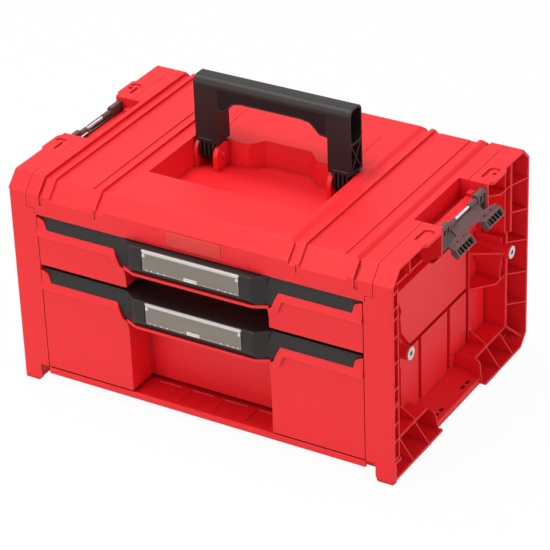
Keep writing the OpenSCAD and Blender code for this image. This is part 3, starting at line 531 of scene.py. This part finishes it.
SLOT_FINISH: dict[str, Finish] = {
    "red_plastic": Finish.RED,
    "black_plastic": Finish.BLACK,
    "soft_grip": Finish.SOFT,
    "grey_plastic": Finish.GREY,
    "dark_rubber": Finish.RUBBER,
    "zinc_steel": Finish.STEEL,
    "clear_plastic": Finish.CLEAR,
    "label_card": Finish.CARD,
}


# ------------------------------------------------------------------ modelling


def only(piece: bpy.types.Object) -> None:
    """Makes a piece the one selected and active object.

    Args:
        piece: The object.
    """
    bpy.ops.object.select_all(action="DESELECT")
    piece.select_set(True)
    bpy.context.view_layer.objects.active = piece


def settle(piece: bpy.types.Object) -> None:
    """Puts a piece's place into its mesh and shades it by the size of its faces.

    Args:
        piece: The object.
    """
    only(piece)
    bpy.ops.object.transform_apply(location=True, rotation=True, scale=True)
    bpy.ops.object.shade_smooth_by_angle(angle=math.radians(50))
    weighting = piece.modifiers.new("flat_faces_first", "WEIGHTED_NORMAL")
    weighting.keep_sharp = True
    weighting.weight = 80
    bpy.ops.object.modifier_apply(modifier=weighting.name)


def round_edges(piece: bpy.types.Object, width: float) -> None:
    """Rounds the edges over 30 degrees of a piece for good.

    Args:
        piece: The object.
        width: Width of the rounding, in metres.
    """
    only(piece)
    bevel = piece.modifiers.new("edge_rounding", "BEVEL")
    bevel.width = width
    bevel.segments = 2
    bevel.limit_method = "ANGLE"
    bevel.angle_limit = math.radians(30)
    bevel.use_clamp_overlap = False
    bevel.miter_outer = "MITER_SHARP"
    bpy.ops.object.modifier_apply(modifier=bevel.name)


def moulded_copy(node: str, width: float) -> bpy.types.Object:
    """A copy of a solid with its edges rounded, which stands for it.

    Args:
        node: Name of the solid.
        width: Width of the rounding, in metres.

    Returns:
        The new piece.
    """
    source = frame["nodes"][node]
    piece = bpy.data.objects.new(node + "_moulding", source.data.copy())
    bpy.context.scene.collection.objects.link(piece)
    only(piece)
    bpy.ops.object.mode_set(mode="EDIT")
    bpy.ops.mesh.select_all(action="SELECT")
    bpy.ops.mesh.customdata_custom_splitnormals_clear()
    bpy.ops.mesh.remove_doubles(threshold=SAME_POINT)
    bpy.ops.mesh.normals_make_consistent(inside=False)
    bpy.ops.object.mode_set(mode="OBJECT")
    round_edges(piece, width)
    settle(piece)
    return piece


def slab(name: str, low: Point, high: Point) -> bpy.types.Object:
    """A block between two corners, the start of a modelled piece.

    Args:
        name: Name of the piece.
        low: Its lowest corner.
        high: Its highest corner.

    Returns:
        The block.
    """
    bpy.ops.object.select_all(action="DESELECT")
    bpy.ops.mesh.primitive_cube_add(size=1.0)
    piece = bpy.context.active_object
    piece.name = name
    piece.scale = [b - a for a, b in zip(low, high)]
    piece.location = [(a + b) / 2 for a, b in zip(low, high)]
    bpy.ops.object.transform_apply(location=True, rotation=True, scale=True)
    return piece


def pick(piece: bpy.types.Object, test: Callable[[Vector, Vector], bool]) -> None:
    """Goes into edit mode with the faces selected that pass a test.

    Args:
        piece: The object.
        test: Takes a face's centre and its normal.
    """
    only(piece)
    bpy.ops.object.mode_set(mode="EDIT")
    bpy.ops.mesh.select_mode(type="FACE")
    bpy.ops.mesh.select_all(action="DESELECT")
    bpy.ops.object.mode_set(mode="OBJECT")
    for face in piece.data.polygons:
        face.select = test(face.center, face.normal)
    bpy.ops.object.mode_set(mode="EDIT")


def pull(shift: Point) -> None:
    """Extrudes the selected faces and leaves edit mode.

    Args:
        shift: How far they move.
    """
    bpy.ops.mesh.extrude_region_move(TRANSFORM_OT_translate={"value": shift})
    bpy.ops.object.mode_set(mode="OBJECT")


def split(piece: bpy.types.Object, places: Sequence[Point], normal: Point) -> None:
    """Cuts new edges round a piece where planes pass through it.

    Args:
        piece: The object.
        places: One point of each plane.
        normal: Normal of the planes.
    """
    only(piece)
    bpy.ops.object.mode_set(mode="EDIT")
    for place in places:
        bpy.ops.mesh.select_all(action="SELECT")
        bpy.ops.mesh.bisect(plane_co=place, plane_no=normal)
    bpy.ops.object.mode_set(mode="OBJECT")


def join_body(piece: bpy.types.Object, body: str, finish: Finish, *nodes: str) -> None:
    """Dresses a piece, sets it to ride on a body and hides the solids that it stands for.

    Args:
        piece: The object.
        body: The body that it rides on.
        finish: Its finish.
        *nodes: The solids that it stands for.
    """
    WARDROBE.dress(piece, finish)
    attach(piece, body)
    if nodes:
        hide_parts(*nodes)
    log.info("%s rides on %s, %d faces", piece.name, body, len(piece.data.polygons))


# ------------------------------------------------------------------ sub-assemblies


@dataclass
class Mouldings:
    """Copies of the moulded solids with rounded edges; all widths in metres."""

    lid_width: float = 0.00025
    case_width: float = 0.00035
    plate_width: float = 0.0002
    handle_width: float = 0.0005
    latch_width: float = 0.0003

    def build(self) -> None:
        """Makes a rounded copy of each moulding."""
        plan: Sequence[tuple[str, str, Finish, float]] = (
            ("lid", "case", Finish.RED, self.lid_width),
            ("side_frame_right", "case", Finish.RED, self.case_width),
            ("side_frame_left", "case", Finish.RED, self.case_width),
            ("rear_wall", "case", Finish.RED, self.case_width),
            ("floor_tray", "case", Finish.RED, self.case_width),
            ("badge_plate", "case", Finish.BADGE, self.plate_width),
            ("base_pads", "case", Finish.RUBBER, self.case_width),
            ("handle_frame", "handle", Finish.BLACK, self.handle_width),
            ("latch_bracket_right", "case", Finish.GREY, self.latch_width),
            ("latch_bracket_left", "case", Finish.GREY, self.latch_width),
            ("latch_flap_right", "right_latch", Finish.GREY, self.latch_width),
            ("latch_flap_left", "left_latch", Finish.GREY, self.latch_width),
            ("top_drawer_tub", "top_drawer", Finish.RED, self.case_width),
            ("bottom_drawer_tub", "bottom_drawer", Finish.RED, self.case_width),
            ("top_drawer_grip", "top_drawer", Finish.BLACK, self.case_width),
            ("bottom_drawer_grip", "bottom_drawer", Finish.BLACK, self.case_width),
        )
        for node, body, finish, width in plan:
            join_body(moulded_copy(node, width), body, finish, node)


@dataclass
class LabelWindow:
    """Flap over a drawer's label: a silver bar, a grey face, a clip and small studs.

    Attributes:
        drawer: Name of the drawer, top or bottom.
        top: Height of the flap's upper edge.
        front: Place of its front along Y.
        half: Half of its width.
        height: Its height.
        bar_height: Height of the bar.
        bar_depth: How far the bar reaches behind the front.
        bar_step: Height of the set-back step along the bar's lower edge.
        hook_width: Width of the hook at each end of the bar.
        hook_drop: How far the hooks hang below the bar.
        face_depth: Thickness of the face.
        border: Width of the raised borders of the face and the clip.
        clip_half: Half of the clip's width.
        clip_height: Height of the clip.
        stud_size: Radius of a stud, and its thickness.
    """

    drawer: str
    top: float
    front: float = -0.156
    half: float = 0.0567
    height: float = 0.024
    bar_height: float = 0.0042
    bar_depth: float = 0.0026
    bar_step: float = 0.0012
    hook_width: float = 0.0034
    hook_drop: float = 0.0038
    face_depth: float = 0.0011
    border: float = 0.0009
    clip_half: float = 0.0078
    clip_height: float = 0.0042
    stud_size: float = 0.0008

    @property
    def body(self) -> str:
        """Body that the flap swings with."""
        return self.drawer + "_window"

    def bar(self) -> bpy.types.Object:
        """Makes the bar along the top, with a hook at each end."""
        low = self.top - self.bar_height
        bar = slab(
            self.drawer + "_window_bar",
            (-self.half, self.front + 0.00005, low),
            (self.half, self.front + self.bar_depth, self.top - 0.0001),
        )
        inner = self.half - self.hook_width
        split(bar, [(-inner, 0.0, 0.0), (inner, 0.0, 0.0)], (1.0, 0.0, 0.0))
        pick(bar, lambda c, n: n.z < -0.9 and abs(c.x) > inner)
        pull((0.0, 0.0, -self.hook_drop))
        step = low + self.bar_step
        split(bar, [(0.0, 0.0, step)], (0.0, 0.0, 1.0))
        pick(bar, lambda c, n: n.y < -0.9 and low < c.z < step)
        bpy.ops.transform.translate(value=(0.0, 0.0005, 0.0))
        bpy.ops.object.mode_set(mode="OBJECT")
        round_edges(bar, 0.00035)
        settle(bar)
        return bar

    def face(self) -> bpy.types.Object:
        """Makes the face with a raised border."""
        y = self.front + 0.0005
        face = slab(
            self.drawer + "_window_face",
            (-self.half, y, self.top - self.height),
            (self.half, y + self.face_depth, self.top - 0.0036),
        )
        pick(face, lambda c, n: n.y < -0.9)
        bpy.ops.mesh.inset(thickness=self.border, depth=0.0)
        pull((0.0, 0.00035, 0.0))
        round_edges(face, 0.00012)
        settle(face)
        return face

    def clip(self) -> bpy.types.Object:
        """Makes the ring-shaped clip in the middle of the lower edge."""
        z = self.top - self.height
        clip = slab(
            self.drawer + "_window_clip",
            (-self.clip_half, self.front + 0.0001, z + 0.0001),
            (self.clip_half, self.front + 0.0009, z + self.clip_height),
        )
        pick(clip, lambda c, n: n.y < -0.9)
        bpy.ops.mesh.inset(thickness=self.border, depth=0.0)
        pull((0.0, 0.0006, 0.0))
        round_edges(clip, 0.0003)
        settle(clip)
        return clip

    def studs(self) -> bpy.types.Object:
        """Makes the small studs along the lower edge, as one piece."""
        z = self.top - self.height + 0.0011
        made = []
        for x in STUD_PLACES:
            bpy.ops.object.select_all(action="DESELECT")
            bpy.ops.mesh.primitive_cylinder_add(
                vertices=16, radius=self.stud_size, depth=self.stud_size,
                location=(x, self.front + 0.0006, z), rotation=(math.pi / 2, 0.0, 0.0),
            )
            stud = bpy.context.active_object
            bpy.ops.object.transform_apply(location=True, rotation=True, scale=True)
            pick(stud, lambda c, n: n.y < -0.9)
            bpy.ops.mesh.inset(thickness=0.0003, depth=0.0)
            bpy.ops.object.mode_set(mode="OBJECT")
            round_edges(stud, 0.00015)
            made.append(stud)
        only(made[0])
        for stud in made[1:]:
            stud.select_set(True)
        bpy.ops.object.join()
        made[0].name = self.drawer + "_window_studs"
        settle(made[0])
        return made[0]

    def build(self) -> None:
        """Makes the flap's pieces and lets them swing with it."""
        join_body(self.bar(), self.body, Finish.SILVER, self.drawer + "_label_cover")
        join_body(self.face(), self.body, Finish.FACE)
        join_body(self.clip(), self.body, Finish.SILVER)
        join_body(self.studs(), self.body, Finish.SILVER)


@dataclass
class KeptSolids:
    """The solids that are shown as they are, in better materials."""

    special: dict[str, Finish] = field(
        default_factory=lambda: {
            "side_screws": Finish.DARK_STEEL,
            "side_washers": Finish.SATIN_STEEL,
        }
    )

    def dress(self) -> None:
        """Gives every solid the material of its slot."""
        slots = {p["node"]: p["material_slot"] for p in frame["record"]["subparts"]}
        for node, solid in frame["nodes"].items():
            WARDROBE.dress(solid, self.special.get(node, SLOT_FINISH[slots[node]]))


# ------------------------------------------------------------------ studio


@dataclass(frozen=True)
class SoftBox:
    """Square lamp that points at the part; metres and watts."""

    name: str
    place: Point
    aim: Point
    size: float
    power: float

    def hang(self) -> None:
        """Adds the lamp to the scene."""
        data = bpy.data.lights.new(self.name, "AREA")
        data.size = self.size
        data.energy = self.power
        data.color = WARM_WHITE
        lamp = bpy.data.objects.new(self.name, data)
        lamp.location = self.place
        sight = Vector(self.aim) - Vector(self.place)
        lamp.rotation_euler = sight.to_track_quat("-Z", "Y").to_euler()
        bpy.context.scene.collection.objects.link(lamp)


@dataclass
class Studio:
    """Pale floor, soft light and the camera at the photograph's angle.

    Attributes:
        boxes: The lamps.
        fill: Strength of the surround as a light.
        floor_size: Edge length of the floor.
        lens: Focal length in millimetres.
        sensor: Width of the sensor in millimetres.
        eye: Place of the camera.
        right: Direction to the right in the picture.
        back: Direction from the part to the camera.
    """

    boxes: tuple[SoftBox, ...] = (
        SoftBox("top_softbox", place=(-0.5, -0.2, 2.2), aim=(0.0, 0.0, 0.2), size=1.3, power=40.0),
        SoftBox("front_softbox", place=(-0.8, -2.3, 1.0), aim=(0.0, 0.0, 0.15), size=1.1, power=16.5),
        SoftBox("side_softbox", place=(2.4, -0.5, 1.0), aim=(0.1, 0.0, 0.1), size=1.3, power=17.5),
    )
    fill: float = 0.36
    floor_size: float = 14.0
    lens: float = 173.18
    sensor: float = 36.0
    eye: Point = (1.2668, -2.0644, 1.5136)
    right: Point = (0.8624, 0.5053, -0.0322)
    back: Point = (0.4512, -0.7381, 0.5017)

    def camera(self) -> None:
        """Sets the camera up."""
        data = bpy.data.cameras.new("camera")
        data.sensor_width = self.sensor
        data.lens = self.lens
        data.clip_end = 50.0
        camera = bpy.data.objects.new("camera", data)
        bpy.context.scene.collection.objects.link(camera)
        across = Vector(self.right).normalized()
        back = Vector(self.back).normalized()
        up = back.cross(across).normalized()
        across = up.cross(back)
        pose = Matrix((across, up, back)).transposed().to_4x4()
        pose.translation = Vector(self.eye)
        camera.matrix_world = pose
        bpy.context.scene.camera = camera

    def world(self) -> None:
        """Sets a white surround that lights the part less than it is seen."""
        world = bpy.data.worlds.new("studio")
        bpy.context.scene.world = world
        g = Graph(world)
        seen = g.ray("Camera").larger(g.ray("Transmission")).larger(g.ray("Glossy"))
        lamp = g.add(
            "ShaderNodeBackground", {}, {"Color": (1.0, 0.99, 0.98, 1.0), "Strength": self.fill}
        )
        white = g.add(
            "ShaderNodeBackground", {}, {"Color": opaque(PURE_WHITE), "Strength": 1.0}
        )
        shader = g.add("ShaderNodeMixShader", {}, {0: seen, 1: lamp, 2: white})
        g.add("ShaderNodeOutputWorld", {}, {"Surface": shader})

    def floor(self) -> None:
        """Lays the pale floor, which keeps a soft shadow."""
        bpy.ops.mesh.primitive_plane_add(size=self.floor_size, location=(0.0, 0.0, -0.0004))
        floor = bpy.context.active_object
        floor.name = "studio_floor"
        material = bpy.data.materials.new("studio_floor")
        g = Graph(material)
        matt = g.add("ShaderNodeBsdfDiffuse", {}, {"Color": (0.86, 0.86, 0.86, 1.0)})
        glow = g.add("ShaderNodeEmission", {}, {"Color": opaque(PURE_WHITE), "Strength": 1.0})
        seen = (g.ray("Camera") * 0.96 + g.ray("Glossy") * 0.7).clamped()
        shader = g.add("ShaderNodeMixShader", {}, {0: seen, 1: matt, 2: glow})
        g.add("ShaderNodeOutputMaterial", {}, {"Surface": shader})
        floor.data.materials.append(material)

    def build(self) -> None:
        """Makes the whole studio."""
        bpy.context.scene.view_settings.view_transform = "Standard"
        self.camera()
        self.world()
        self.floor()
        for box in self.boxes:
            box.hang()


def main() -> None:
    """Builds the object and the studio, in order."""
    logging.basicConfig(level=logging.INFO, format="%(name)s: %(message)s")
    Studio().build()
    KeptSolids().dress()
    Mouldings().build()
    LabelWindow("top", top=0.204).build()
    LabelWindow("bottom", top=0.141).build()


if __name__ == "__main__":
    main()
